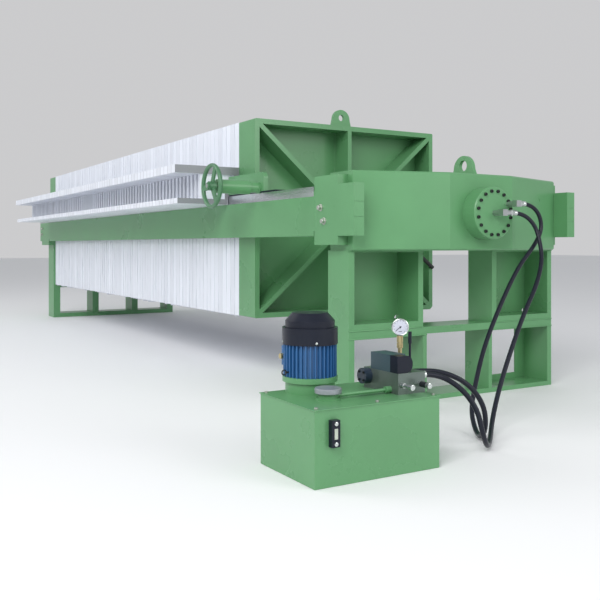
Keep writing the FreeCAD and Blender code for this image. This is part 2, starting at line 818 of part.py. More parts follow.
def transfer_pipe():
    """The thin pipe from the filler's neck to the manifold."""
    z = lid_top + transfer_pipe_rise
    inset = math.sqrt(filler_neck_radius ** 2 - (transfer_pipe_y - filler_y) ** 2)
    start = filler_x + inset - transfer_pipe_radius
    pipe = cylinder(transfer_pipe_radius, manifold_left - start, (start, transfer_pipe_y, z), (1, 0, 0))
    nut_length = transfer_pipe_radius * 4
    nut = cylinder(transfer_pipe_radius * 2, nut_length, (manifold_left - nut_length, transfer_pipe_y, z),
                   (1, 0, 0))
    return pipe.fuse(nut).removeSplitter().cut(filler_neck())


def manifold():
    """The valve block on the lid."""
    return box(manifold_left, manifold_right, manifold_front, manifold_back, lid_top, manifold_top)


def valve_body():
    """The slate body of the directional valve, flush with the block's left side."""
    y0 = manifold_front + valve_inset + valve_coil_length
    return box(manifold_left, manifold_left + valve_width, y0, y0 + valve_body_length,
               manifold_top, manifold_top + valve_height)


def valve_coil():
    """The black coil housing at the valve's front, rounded on its right, with its hand pin."""
    right = manifold_left + valve_width
    front = manifold_front + valve_inset
    coil = box(manifold_left, right, front, front + valve_coil_length, manifold_top,
               manifold_top + valve_height)
    long_edges = [e for e in coil.Edges if abs(e.BoundBox.YMax - e.BoundBox.YMin) > 1
                  and e.BoundBox.XMin > right - 1]
    pin = cylinder(valve_pin_radius, valve_pin_length + valve_width / 2,
                   (right - valve_width / 2, front + valve_coil_length / 2, manifold_top + valve_height / 2),
                   (1, 0, 0))
    return coil.makeFillet(valve_coil_round, long_edges).fuse(pin).removeSplitter()


def relief_valve():
    """The relief cartridge on the block's left side."""
    start = (manifold_left, relief_y, lid_top + relief_rise)
    return cylinder(relief_radius, relief_length, start, (-1, 0, 0))


def adjusting_valve(x, body_radius):
    """An adjusting cartridge on the block's front: a base, a body and a wider cap."""
    z = lid_top + adjuster_rise
    base = cylinder(adjuster_base_radius, adjuster_base_length, (x, manifold_front, z), (0, -1, 0))
    body = cylinder(body_radius, adjuster_length - adjuster_cap_length, (x, manifold_front, z), (0, -1, 0))
    cap = cylinder(adjuster_cap_radius, adjuster_cap_length,
                   (x, manifold_front - adjuster_length + adjuster_cap_length, z), (0, -1, 0))
    return base.fuse([body, cap]).removeSplitter()


def gauge_stem():
    """The brass stem between block and gauge, with its two nuts."""
    top = gauge_centre_height - gauge_radius
    stem = cylinder(gauge_stem_radius, top - manifold_top, (gauge_x, gauge_y, manifold_top), (0, 0, 1))
    nuts = [cylinder(gauge_nut_radius, high - low, (gauge_x, gauge_y, low), (0, 0, 1))
            for low, high in gauge_nut_spans]
    return stem.fuse(nuts).removeSplitter()


def hand_lever():
    """The upright hand lever on the block: a rod with a grip."""
    rod = cylinder(hand_lever_radius, hand_grip_bottom - manifold_top,
                   (hand_lever_x, hand_lever_y, manifold_top), (0, 0, 1))
    grip = cylinder(hand_grip_radius, hand_lever_top - hand_grip_bottom,
                    (hand_lever_x, hand_lever_y, hand_grip_bottom), (0, 0, 1))
    return rod.fuse(grip)


def pressure_gauge():
    """The gauge case, turned towards the operator, on its stem."""
    face = cylinder(gauge_radius, gauge_depth, (0, -gauge_depth / 2, gauge_centre_height), (0, 1, 0))
    face.rotate(V(0, 0, 0), V(0, 0, 1), -gauge_turn)
    face.translate(V(gauge_x, gauge_y, 0))
    return face.cut(gauge_stem())


def level_gauge():
    """The sight gauge on the tank's front."""
    half = level_gauge_width / 2
    return box(level_gauge_x - half, level_gauge_x + half, tank_front - level_gauge_depth, tank_front,
               level_gauge_bottom, level_gauge_bottom + level_gauge_height)


def manifold_outlets():
    """The two hose fittings on the manifold's right side."""
    z = lid_top + outlet_rise
    return [cylinder(outlet_radius, outlet_length, (manifold_right, y, z), (1, 0, 0))
            for y in (outlet_rear_y, outlet_front_y)]


# ---------------------------------------------------------------- hoses
def hose(points):
    """A round hose along straight runs joined by tangent arcs; prints its radii and volume."""
    corners = [V(*p) for p in points]
    edges = []
    here = corners[0]
    radii = []
    for before, corner, after in zip(corners, corners[1:], corners[2:]):
        into = (corner - before).normalize()
        out = (after - corner).normalize()
        turn = into.getAngle(out)
        run = min(corner.distanceToPoint(before), corner.distanceToPoint(after))
        setback = 0.45 * run
        radius = setback / math.tan(turn / 2)
        radii.append(round(radius))
        first = corner - into * setback
        last = corner + out * setback
        inward = (out - into).normalize()
        middle = corner + inward * (radius / math.cos(turn / 2) - radius)
        edges.append(Part.LineSegment(here, first).toShape())
        edges.append(Part.Arc(first, middle, last).toShape())
        here = last
    edges.append(Part.LineSegment(here, corners[-1]).toShape())
    path = Part.Wire(edges)
    circle = Part.Circle(corners[0], corners[1] - corners[0], hose_radius).toShape()
    tube = path.makePipeShell([Part.Wire([circle])], True, True)
    ratio = tube.Volume / (math.pi * hose_radius ** 2 * path.Length)
    print("hose length", round(path.Length), "radii", radii, "volume ratio", round(ratio, 4))
    return tube


cap_face = -crosshead_front - barrel_proud - cap_thickness
elbow_y = cap_face - port_length
upper_start = port_upper_x + port_elbow_side / 2 + port_upper_arm
centre_start = port_elbow_side / 2 + port_centre_arm
outlet_end = manifold_right + outlet_length
outlet_z = lid_top + outlet_rise

upper_port_z = axis_height + port_upper_rise

upper_hose_route = [
    (upper_start, elbow_y, upper_port_z), (230, elbow_y, upper_port_z), (313, -526, 1201),
    (327, -535, 1100), (247, -546, 998), (70, -573, 860), (-150, -638, 625), (-340, -711, 413),
    (-494, -806, 233), (-590, -872, 105), (-655, -975, 24), (-735, -1105, 16), (-775, -1185, 100),
    (-800, -1190, 215), (-880, -1165, 320), (-985, -1110, 375), (-1090, outlet_rear_y, outlet_z),
    (outlet_end, outlet_rear_y, outlet_z),
]
centre_hose_route = [
    (centre_start, elbow_y, axis_height), (160, elbow_y, axis_height), (244, -545, 1139),
    (251, -585, 1035), (215, -640, 905), (85, -712, 755), (-77, -774, 614), (-283, -850, 373),
    (-440, -920, 179), (-559, -1000, 60), (-701, -1136, 22), (-850, -1270, 16), (-925, -1315, 110),
    (-945, -1300, 225), (-997, -1237, 325), (-1090, outlet_front_y, outlet_z),
    (outlet_end, outlet_front_y, outlet_z),
]


def build():
    """Writes every sub-part."""
    os.makedirs("parts", exist_ok=True)
    write("near_base_plate", base_plate())
    write("near_mid_plate", mid_plate())
    for side, label in ((-1, "left"), (1, "right")):
        write("near_lower_leg_" + label, lower_leg(side))
        write("near_upper_leg_" + label, upper_leg(side))
        write("side_beam_" + label, side_beam(side))
        write("rail_" + label, rail(side))
        write("carriage_" + label, carriage(side))
    write("crosshead", crosshead())
    write("keeper_blocks", *keeper_blocks())
    write("cylinder_barrel", cylinder_barrel())
    write("cylinder_cap", cylinder_cap())
    write("cylinder_gland", gland())
    write("port_fittings", port_fitting(0, 0, port_centre_arm),
          port_fitting(port_upper_x, port_upper_rise, port_upper_arm))
    handles = [plate_handle(index) for index in range(plate_count)]
    write("plate_handles_right", *handles)
    write("plate_handles_left", *[mirrored(handle) for handle in handles])
    for group in range(plate_count // plates_per_node):
        members = range(group * plates_per_node, (group + 1) * plates_per_node)
        write("filter_plates_%d" % (group + 1), *[filter_plate(index) for index in members])
    write("fixed_head", fixed_head())
    write("feed_nozzle", feed_nozzle())
    write("beam_pads", *beam_pads())
    write("far_stand", far_stand())
    write("far_upper_legs", *far_upper_legs())
    write("follower", follower())
    write("side_bar", side_bar())
    write("ram", ram())
    write("slide_shoes", shoe(-1), shoe(1))
    write("handwheel_sleeve", handwheel_sleeve())
    write("handwheel", handwheel())
    write("handwheel_shaft", handwheel_shaft())
    write("tank", tank())
    write("tank_lid", tank_lid())
    write("bell_housing", bell_housing())
    write("motor_body", motor_body())
    write("motor_cowl", motor_cowl())
    write("terminal_box", terminal_box())
    write("cable_gland", cable_gland())
    write("filler_neck", filler_neck())
    write("filler_cap", filler_cap())
    write("transfer_pipe", transfer_pipe())
    write("manifold", manifold())
    write("valve_body", valve_body())
    write("valve_coil", valve_coil())
    write("relief_valve", relief_valve())
    write("adjusting_valves", adjusting_valve(adjuster_left_x, adjuster_left_radius),
          adjusting_valve(adjuster_right_x, adjuster_right_radius))
    write("gauge_stem", gauge_stem())
    write("pressure_gauge", pressure_gauge())
    write("hand_lever", hand_lever())
    write("level_gauge", level_gauge())
    write("manifold_outlets", *manifold_outlets())
    write("hose_upper", hose(upper_hose_route))
    write("hose_centre", hose(centre_hose_route))


build()
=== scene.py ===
import bpy
import bmesh
import json
import math
import numpy as np
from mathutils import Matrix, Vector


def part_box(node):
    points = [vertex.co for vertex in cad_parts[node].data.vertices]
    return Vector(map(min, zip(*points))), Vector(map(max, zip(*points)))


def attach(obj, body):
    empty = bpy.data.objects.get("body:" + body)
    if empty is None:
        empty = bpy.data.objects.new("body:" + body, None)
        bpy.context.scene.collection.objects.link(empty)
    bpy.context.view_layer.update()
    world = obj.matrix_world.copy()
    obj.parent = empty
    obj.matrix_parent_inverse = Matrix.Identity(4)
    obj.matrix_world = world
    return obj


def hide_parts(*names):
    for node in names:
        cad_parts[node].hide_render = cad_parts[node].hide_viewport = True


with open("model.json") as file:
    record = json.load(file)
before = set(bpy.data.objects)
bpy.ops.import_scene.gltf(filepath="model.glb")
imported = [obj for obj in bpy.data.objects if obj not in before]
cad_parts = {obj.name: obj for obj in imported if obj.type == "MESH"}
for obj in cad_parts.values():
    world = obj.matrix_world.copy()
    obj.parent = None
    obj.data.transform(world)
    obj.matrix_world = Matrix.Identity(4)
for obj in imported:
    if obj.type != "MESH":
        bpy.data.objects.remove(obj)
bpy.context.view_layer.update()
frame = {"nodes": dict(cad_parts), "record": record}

# ---------------------------------------------------------------- studio
# A plain pale floor and soft light. The camera stands to the left of the cylinder end,
# level, at about chest height, and looks along the press.
scene = bpy.context.scene
scene.view_settings.view_transform = "Standard"

camera_data = bpy.data.cameras.new("camera")
camera_data.lens = 48.07
camera_data.sensor_width = 36.0
camera_data.shift_y = -0.0913
camera_data.clip_end = 200.0
camera = bpy.data.objects.new("camera", camera_data)
camera.location = (-3.611, -4.142, 1.0)
camera.rotation_euler = (math.radians(90), 0, math.radians(-30.7))
scene.collection.objects.link(camera)
scene.camera = camera

floor_half, floor_level = 60.0, -0.001
floor_corners = [(x * floor_half, y * floor_half, floor_level)
                 for x, y in ((-1, -1), (1, -1), (1, 1), (-1, 1))]
floor_mesh = bpy.data.meshes.new("floor")
floor_mesh.from_pydata(floor_corners, [], [(0, 1, 2, 3)])
floor = bpy.data.objects.new("floor", floor_mesh)
scene.collection.objects.link(floor)
floor_finish = bpy.data.materials.new("pale_floor")
floor_finish.use_nodes = True
floor_shader = floor_finish.node_tree.nodes["Principled BSDF"]
floor_shader.inputs["Base Color"].default_value = (0.93, 0.93, 0.94, 1)
floor_shader.inputs["Roughness"].default_value = 0.75
floor_mesh.materials.append(floor_finish)


def soft_light(name, place, aim, width, power):
    """A square lamp at a place, turned so that its face points at the aim."""
    lamp = bpy.data.lights.new(name, "AREA")
    lamp.size = width
    lamp.energy = power
    stand = bpy.data.objects.new(name, lamp)
    stand.location = place
    direction = np.array(aim, float) - np.array(place, float)
    across = math.hypot(direction[0], direction[1])
    stand.rotation_euler = (math.atan2(across, -direction[2]), 0,
                            math.atan2(direction[1], direction[0]) - math.pi / 2)
    scene.collection.objects.link(stand)


soft_light("key_light", (-7.0, -5.0, 6.5), (0, 2.5, 1.0), 5.0, 520)
soft_light("front_light", (3.0, -9.0, 4.5), (0, 0, 1.0), 5.0, 260)
soft_light("far_light", (-8.0, 7.0, 6.0), (0, 5.0, 1.0), 6.0, 300)

# The camera, and anything seen through glass, meets a plain grey backdrop. The light comes
# from a paler daylight colour, which metal reflects too.
world = bpy.data.worlds.new("studio")
world.use_nodes = True
world_nodes, world_links = world.node_tree.nodes, world.node_tree.links
daylight = world_nodes["Background"]
daylight.inputs["Color"].default_value = (0.90, 0.92, 0.95, 1)
daylight.inputs["Strength"].default_value = 0.55
backdrop = world_nodes.new("ShaderNodeBackground")
backdrop.inputs["Color"].default_value = (0.60, 0.60, 0.61, 1)
backdrop.inputs["Strength"].default_value = 1.0
ray = world_nodes.new("ShaderNodeLightPath")
seen = world_nodes.new("ShaderNodeMath")
seen.operation = "MAXIMUM"
world_links.new(ray.outputs["Is Camera Ray"], seen.inputs[0])
world_links.new(ray.outputs["Is Transmission Ray"], seen.inputs[1])
mixed = world_nodes.new("ShaderNodeMixShader")
world_links.new(seen.outputs[0], mixed.inputs["Fac"])
world_links.new(daylight.outputs[0], mixed.inputs[1])
world_links.new(backdrop.outputs[0], mixed.inputs[2])
world_links.new(mixed.outputs[0], world_nodes["World Output"].inputs["Surface"])
scene.world = world


# ---------------------------------------------------------------- painted frame
# Stands, crosshead, beams, heads and tank are welded plate under one coat of light green,
# with the uneven sheen and slight cloudiness of sprayed paint.
sheen_spread, smoothest = 0.10, 0.05
cloud_detail, grain_strength, grain_depth = 6.0, 0.25, 0.0004


def finish(name, colour, roughness, metallic=0.0, clouds=0.06, cloud_size=2.5, grain_size=260.0,
           stretch=(1.0, 1.0, 1.0), gloss=0.5):
    """A surface whose colour drifts by the given share in soft clouds, and whose roughness
    follows them, with a fine grain in its height."""
    material = bpy.data.materials.new(name)
    material.use_nodes = True
    nodes, links = material.node_tree.nodes, material.node_tree.links
    shader = nodes["Principled BSDF"]
    shader.inputs["Metallic"].default_value = metallic
    shader.inputs["Specular IOR Level"].default_value = gloss
    place = nodes.new("ShaderNodeTexCoord")
    turn = nodes.new("ShaderNodeMapping")
    turn.inputs["Scale"].default_value = stretch
    links.new(place.outputs["Object"], turn.inputs["Vector"])
    cloud = nodes.new("ShaderNodeTexNoise")
    cloud.inputs["Scale"].default_value = cloud_size
    cloud.inputs["Detail"].default_value = cloud_detail
    links.new(turn.outputs["Vector"], cloud.inputs["Vector"])
    blend = nodes.new("ShaderNodeMix")
    blend.data_type = "RGBA"
    darker = tuple(c * (1 - clouds) for c in colour) + (1,)
    paler = tuple(min(1.0, c * (1 + clouds)) for c in colour) + (1,)
    blend.inputs["A"].default_value = darker
    blend.inputs["B"].default_value = paler
    links.new(cloud.outputs["Fac"], blend.inputs["Factor"])
    links.new(blend.outputs["Result"], shader.inputs["Base Color"])
    sheen = nodes.new("ShaderNodeMapRange")
    sheen.inputs["To Min"].default_value = max(smoothest, roughness - sheen_spread)
    sheen.inputs["To Max"].default_value = roughness + sheen_spread
    links.new(cloud.outputs["Fac"], sheen.inputs["Value"])
    links.new(sheen.outputs["Result"], shader.inputs["Roughness"])
    grain = nodes.new("ShaderNodeTexNoise")
    grain.inputs["Scale"].default_value = grain_size
    links.new(turn.outputs["Vector"], grain.inputs["Vector"])
    bump = nodes.new("ShaderNodeBump")
    bump.inputs["Strength"].default_value = grain_strength
    bump.inputs["Distance"].default_value = grain_depth
    links.new(grain.outputs["Fac"], bump.inputs["Height"])
    links.new(bump.outputs["Normal"], shader.inputs["Normal"])
    return material


def dress(material, *nodes):
    """Puts one finish on CAD nodes, in place of the plain one they came with."""
    for node in nodes:
        slots = frame["nodes"][node].data.materials
        for index in range(len(slots)):
            slots[index] = material


def dress_slot(material, slot):
    """Puts one finish on every CAD node of a material slot."""
    subparts = frame["record"]["subparts"]
    dress(material, *[part["node"] for part in subparts if part["material_slot"] == slot])


green_paint = finish("green_paint", (0.12, 0.32, 0.14), 0.30, clouds=0.16)
dress_slot(green_paint, "green_paint")

# ---------------------------------------------------------------- near stand
# Two channel legs on a foot plate, a mid plate and two upper legs, of welded steel plate.
# Along each front edge a fillet weld runs below the mid plate, on it and at the leg's top.
merge_distance = 1e-6
crease = math.radians(35)


def skin(name, shells, material, body, smooth=True):
    """One piece from closed shells. A shell is a grid of points, rows along it and columns round
    it: neighbours share a face, the last column joins the first, and each end row is one face."""
    points, faces, start = [], [], 0
    for grid in shells:
        rows, columns = grid.shape[:2]
        index = np.arange(rows * columns).reshape(rows, columns) + start
        around = np.roll(index, -1, axis=1)
        quads = np.stack([index[:-1], around[:-1], around[1:], index[1:]], axis=-1).reshape(-1, 4)
        faces += quads.tolist() + [index[0][::-1].tolist(), index[-1].tolist()]
        points.append(grid.reshape(-1, 3))
        start += rows * columns
    mesh = bpy.data.meshes.new(name)
    mesh.from_pydata(np.concatenate(points).tolist(), [], faces)
    tidy = bmesh.new()
    tidy.from_mesh(mesh)
    bmesh.ops.remove_doubles(tidy, verts=tidy.verts, dist=merge_distance)
    bmesh.ops.recalc_face_normals(tidy, faces=tidy.faces)
    tidy.to_mesh(mesh)
    tidy.free()
    if smooth:
        mesh.shade_smooth()
        mesh.set_sharp_from_angle(angle=crease)
    mesh.materials.append(material)
    piece = bpy.data.objects.new(name, mesh)
    scene.collection.objects.link(piece)
    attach(piece, body)


nearly_upright = 0.9


def turned(centre, axis, profile, columns=24):
    """A turned shell: each (radius, distance along the axis) of the profile is carried round
    the axis."""
    axis = np.array(axis, float) / np.linalg.norm(axis)
    helper = np.array([0, 0, 1.0]) if abs(axis[2]) < nearly_upright else np.array([1.0, 0, 0])
    first = np.cross(axis, helper)
    first /= np.linalg.norm(first)
    second = np.cross(axis, first)
    angle = np.linspace(0, 2 * math.pi, columns, endpoint=False)
    round_way = np.cos(angle)[:, None] * first + np.sin(angle)[:, None] * second
    radius, along = np.array(profile, float).T
    points = along[:, None, None] * axis + radius[:, None, None] * round_way[None]
    return np.array(centre, float) + points


ripple_length, ripple_depth, rings_in_ripple = 0.014, 0.16, 3


def weld(start, end, size):
    """A bead: a thin tube on a line. Its radius is the size times one plus the ripples' depth
    times a sine that turns once a ripple."""
    start, end = np.array(start, float), np.array(end, float)
    length = np.linalg.norm(end - start)
    ripples = max(4, int(length / ripple_length))
    along = np.linspace(0, 1, ripples * rings_in_ripple + 1)
    radius = size * (1 + ripple_depth * np.sin(2 * math.pi * along * ripples))
    return turned(start, end - start, np.stack([radius, along * length], axis=1), columns=8)


mid_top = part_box("near_mid_plate")[1].z
bead = 0.005
stand_welds = []
for label in ("left", "right"):
    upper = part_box("near_upper_leg_" + label)
    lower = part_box("near_lower_leg_" + label)
    for (low, high), level in ((upper, mid_top), (lower, lower[1].z - bead),
                               (upper, upper[1].z - bead)):
        stand_welds.append(weld((low.x, low.y, level), (high.x, low.y, level), bead))
skin("near_stand_welds", stand_welds, green_paint, "frame")

# ---------------------------------------------------------------- cylinder cap screws
# Sixteen blackened socket screws hold the cap on the barrel; each head is a short turned
# cylinder with a recess for the key.
screw_steel = finish("blackened_screws", (0.05, 0.055, 0.055), 0.42, metallic=0.85, clouds=0.2)
cap_low, cap_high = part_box("cylinder_cap")
cap_centre = (cap_low + cap_high) / 2
screw_count = 16
screw_circle = 0.277 / 2
head_radius, head_height = 0.0105, 0.012
head_profile = [(head_radius, 0), (head_radius, 0.010), (head_radius * 0.9, head_height),
                (head_radius * 0.55, head_height), (head_radius * 0.5, head_height / 2)]
screws = []
for angle in np.linspace(0, 2 * math.pi, screw_count, endpoint=False) + math.pi / screw_count:
    place = (cap_centre.x + screw_circle * math.cos(angle), cap_low.y,
             cap_centre.z + screw_circle * math.sin(angle))
    screws.append(turned(place, (0, -1, 0), head_profile, columns=16))
skin("cylinder_cap_screws", screws, screw_steel, "frame")

# ---------------------------------------------------------------- beam bolts
# Plated hexagon bolts with washers, a pair at each end of each beam, screwed down on the
# beam's outer face.
bolt_steel = finish("plated_bolts", (0.55, 0.57, 0.52), 0.36, metallic=0.9, clouds=0.15)
washer_rim, washer_top, chamfer_from, bolt_top = 0.004, 0.005, 0.019, 0.023


def hexagon_bolt(place, axis, across):
    """A washer and a six-sided head with a chamfered top, standing on the surface."""
    corner = across / math.sqrt(3)
    washer = turned(place, axis, [(across * 0.75, 0), (across * 0.75, washer_rim),
                                  (across * 0.68, washer_top)])
    head = turned(place, axis, [(corner, washer_rim), (corner, chamfer_from),
                                (corner * 0.86, bolt_top)], columns=6)
    return [washer, head]


bolt_across = 0.030
neck_bolts = ((0.10, 1.235), (0.06, 1.150))
far_bolt_offsets = ((-0.14, 0.02), (-0.12, -0.06))
beam_bolts = []
for label, side in (("left", -1), ("right", 1)):
    low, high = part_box("side_beam_" + label)
    face = low.x if side < 0 else high.x
    middle = (low.z + high.z) / 2
    far_bolts = tuple((high.y + along, middle + up) for along, up in far_bolt_offsets)
    for y, z in neck_bolts + far_bolts:
        beam_bolts += hexagon_bolt((face, y, z), (side, 0, 0), bolt_across)
skin("side_beam_bolts", beam_bolts, bolt_steel, "frame", smooth=False)

# ---------------------------------------------------------------- rails
# Stainless bars, brushed along their length, one on top of each beam. The handles slide on
# them and wear them bright.
rail_steel = finish("brushed_rail", (0.66, 0.68, 0.70), 0.26, metallic=1.0, clouds=0.12,
                    cloud_size=4.0, grain_size=180.0, stretch=(8.0, 0.25, 8.0))
dress_slot(rail_steel, "stainless")

# ---------------------------------------------------------------- filter plates
# Moulded polypropylene: each plate has its own faint shade, with vertical wash marks.
first_low, first_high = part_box("filter_plates_1")
second_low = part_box("filter_plates_2")[0]
plate_groups, plates_in_group = 4, 19
plate_pitch = (second_low.y - first_low.y) / plates_in_group
darkest_plate = 0.88
# Painted shade: at each joint between plates a band darkens towards the gap, where shadow falls.
painted_joint_shade, joint_reach = 0.35, 0.055


def plate_finish():
    """White plastic. The number of the plate, from its place along the press, picks its shade,
    and a band at each joint is darker: painted shade for the shadow in the gap between plates."""
    material = finish("white_polypropylene", (0.80, 0.83, 0.90), 0.45, clouds=0.05, cloud_size=3.0,
                      grain_size=320.0, stretch=(1.0, 5.0, 0.5))
    nodes, links = material.node_tree.nodes, material.node_tree.links
    shader = nodes["Principled BSDF"]
    shader.inputs["Subsurface Weight"].default_value = 0.05
    shader.inputs["Subsurface Radius"].default_value = (0.02, 0.02, 0.02)
    clouds = shader.inputs["Base Color"].links[0].from_socket

    def worked(operation, value, second=None):
        """One step of arithmetic; its second value is a number or another node's output."""
        step = nodes.new("ShaderNodeMath")
        step.operation = operation
        links.new(value, step.inputs[0])
        if isinstance(second, float):
            step.inputs[1].default_value = second
        elif second is not None:
            links.new(second, step.inputs[1])
        return step.outputs[0]

    def spread(value, least, value_at_most=1.0):
        """A value of 0 gives the least shade; from value_at_most on, the shade is full."""
        scale = nodes.new("ShaderNodeMapRange")
        scale.inputs["From Max"].default_value = value_at_most
        scale.inputs["To Min"].default_value = least
        links.new(value, scale.inputs["Value"])
        return scale.outputs["Result"]

    place = nodes.new("ShaderNodeTexCoord")
    apart = nodes.new("ShaderNodeSeparateXYZ")
    links.new(place.outputs["Object"], apart.inputs["Vector"])
    in_pitches = worked("DIVIDE", worked("SUBTRACT", apart.outputs["Y"], first_low.y), plate_pitch)
    chance = nodes.new("ShaderNodeTexWhiteNoise")
    chance.noise_dimensions = "1D"
    links.new(worked("FLOOR", in_pitches), chance.inputs["W"])
    shade = spread(chance.outputs["Value"], darkest_plate)
    painted_shade_band = spread(worked("PINGPONG", in_pitches, 0.5), painted_joint_shade, joint_reach)
    tint = nodes.new("ShaderNodeVectorMath")
    tint.operation = "SCALE"
    links.new(clouds, tint.inputs[0])
    links.new(worked("MULTIPLY", shade, painted_shade_band), tint.inputs["Scale"])
    links.new(tint.outputs["Vector"], shader.inputs["Base Color"])
    return material


dress_slot(plate_finish(), "polypropylene")

# ---------------------------------------------------------------- filter cloths
# A woven cloth hangs over every plate, and its trimmed edges stand out a few millimetres
# at each joint, down both sides and along the bottom.
chance_of_cloth = np.random.default_rng(7)
cloth = finish("filter_cloth", (0.72, 0.75, 0.80), 0.75, clouds=0.10, cloud_size=9.0,
               grain_size=700.0, gloss=0.2)
cloth_half = 0.0022
wave_turns = (1.3, 2.9, 5.3)
mean_share, wave_share = 0.62, 0.38
cloth_edges = []


def cloth_edge(start, end, outward, y, reach):
    """A thin strip from start to end in X and Z. Its inner side is straight. Its outer side
    stands out by the reach times a mean share plus a wave, the mean of three slow sines."""
    steps = 26
    share = np.linspace(0, 1, steps)[:, None]
    inner = np.array(start) * (1 - share) + np.array(end) * share
    phase = chance_of_cloth.uniform(0, 2 * math.pi, 3)
    wave = sum(np.sin(2 * math.pi * turns * share + p) for turns, p in zip(wave_turns, phase))
    wave /= len(wave_turns)
    outer = inner + np.array(outward) * reach * (mean_share + wave_share * wave)
    rows = []
    for flat, offset in ((inner, -1), (outer, -1), (outer, 1), (inner, 1)):
        side_y = np.full(steps, y + offset * cloth_half)
        rows.append(np.stack([flat[:, 0], side_y, flat[:, 1]], axis=1))
    return np.stack(rows, axis=1)


cloth_inset, cloth_drift = 0.004, 0.002
side_reach, bottom_reach = (0.007, 0.013), (0.008, 0.024)
cloth_foot, cloth_top = first_low.z + cloth_inset, first_high.z - cloth_inset
for number in range(1, plate_groups * plates_in_group):
    y = first_low.y + number * plate_pitch + chance_of_cloth.uniform(-cloth_drift, cloth_drift)
    for side in (-1, 1):
        x = side * (first_high.x - cloth_inset)
        cloth_edges.append(cloth_edge((x, cloth_foot), (x, cloth_top), (side, 0), y,
                                      chance_of_cloth.uniform(*side_reach)))
    cloth_edges.append(cloth_edge((first_low.x + cloth_inset, cloth_foot),
                                  (first_high.x - cloth_inset, cloth_foot), (0, -1), y,
                                  chance_of_cloth.uniform(*bottom_reach)))
skin("filter_cloth_edges", cloth_edges, cloth, "frame")

# ---------------------------------------------------------------- follower welds
# The steel centre rib is fillet-welded to the recessed plate; its beads run down both its
# sides, above and below the hub, and are painted with the rest.
follower_low, follower_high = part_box("follower")
rib_half, hub_reach = 0.018, 0.150
recess_depth, frame_edge, lug_height = 0.076, 0.038, 0.150
recess_back = follower_high.y - recess_depth
follower_top = follower_high.z - lug_height
follower_mid = (follower_low.z + follower_top) / 2
bead_y = recess_back - bead / 2
follower_welds = []
for side in (-1, 1):
    x = side * (rib_half + bead / 2)
    for foot, top in ((follower_mid + hub_reach, follower_top - frame_edge),
                      (follower_low.z + frame_edge, follower_mid - hub_reach)):
        follower_welds.append(weld((x, bead_y, foot), (x, bead_y, top), bead))
skin("follower_welds", follower_welds, green_paint, "moving_head")

# ---------------------------------------------------------------- handwheel
# A cast wheel on a steel shaft, painted a darker green than the frame. A plain hexagon nut,
# painted with it, holds it on.
machined_steel = finish("machined_steel", (0.50, 0.52, 0.52), 0.34, metallic=0.95, clouds=0.14,
                        cloud_size=12.0)
dress_slot(machined_steel, "machined_steel")
wheel_paint = finish("wheel_paint", (0.075, 0.20, 0.10), 0.34, clouds=0.2, cloud_size=14.0)
dress(wheel_paint, "handwheel")
shaft_low, shaft_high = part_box("handwheel_shaft")
shaft_centre = (shaft_low + shaft_high) / 2
nut_profile = [(0.022, 0.001), (0.026, 0.004), (0.026, 0.015)]
wheel_nut = turned((shaft_low.x, shaft_centre.y, shaft_centre.z), (1, 0, 0), nut_profile, columns=6)
skin("handwheel_nut", [wheel_nut], wheel_paint, "handwheel", smooth=False)

# ---------------------------------------------------------------- ram
# A hard-chromed steel rod between the gland and the moving head, ground and polished, so
# it is the smoothest surface of all.
hard_chrome = finish("hard_chrome", (0.75, 0.76, 0.78), 0.12, metallic=1.0, clouds=0.04)
dress_slot(hard_chrome, "hard_chrome")

# ---------------------------------------------------------------- power pack finishes
# Blue motor with a black cowl, slate valve, black plastic caps and brass fittings: bought
# parts on the lid, each in its own paint, plastic or metal.
pack_finishes = {
    "motor_paint": finish("motor_blue", (0.030, 0.13, 0.32), 0.36, clouds=0.12, cloud_size=9.0),
    "slate_paint": finish("slate_valve", (0.045, 0.085, 0.105), 0.42, clouds=0.12, cloud_size=12.0),
    "black_plastic": finish("black_plastic", (0.010, 0.013, 0.024), 0.32, clouds=0.18,
                            cloud_size=14.0, gloss=0.28),
    "black_steel": finish("black_steel", (0.020, 0.024, 0.022), 0.40, clouds=0.15, cloud_size=12.0),
    "brass": finish("turned_brass", (0.55, 0.46, 0.24), 0.30, metallic=0.9, clouds=0.15,
                    cloud_size=30.0),
    "gauge_case": finish("gauge_case", (0.55, 0.60, 0.57), 0.22, metallic=1.0, clouds=0.05,
                         cloud_size=20.0),
}
for slot, material in pack_finishes.items():
    dress_slot(material, slot)

# ---------------------------------------------------------------- hoses
# Two hydraulic hoses with smooth black covers, from the cylinder's ports over the floor to
# the valve block.
hose_cover = finish("hose_cover", (0.010, 0.012, 0.022), 0.36, clouds=0.2, cloud_size=20.0,
                    grain_size=500.0, gloss=0.3)
hose_diameter = 0.026
upper_route = [
    (0.150, -0.522, 1.261), (0.230, -0.522, 1.261), (0.313, -0.526, 1.201), (0.327, -0.535, 1.100),
    (0.247, -0.546, 0.998), (0.070, -0.573, 0.860), (-0.150, -0.638, 0.625), (-0.340, -0.711, 0.413),
    (-0.494, -0.806, 0.233), (-0.590, -0.872, 0.105), (-0.655, -0.975, 0.024), (-0.735, -1.105, 0.016),
    (-0.775, -1.185, 0.100), (-0.800, -1.190, 0.215), (-0.880, -1.165, 0.320), (-0.985, -1.110, 0.375),
    (-1.090, -1.067, 0.386), (-1.190, -1.067, 0.386),
]
centre_route = [
    (0.075, -0.522, 1.202), (0.160, -0.522, 1.202), (0.244, -0.545, 1.139), (0.251, -0.585, 1.035),
    (0.215, -0.640, 0.905), (0.085, -0.712, 0.755), (-0.077, -0.774, 0.614), (-0.283, -0.850, 0.373),
    (-0.440, -0.920, 0.179), (-0.559, -1.000, 0.060), (-0.701, -1.136, 0.022), (-0.850, -1.270, 0.016),
    (-0.925, -1.315, 0.110), (-0.945, -1.300, 0.225), (-0.997, -1.237, 0.325), (-1.090, -1.167, 0.386),
    (-1.190, -1.167, 0.386),
]


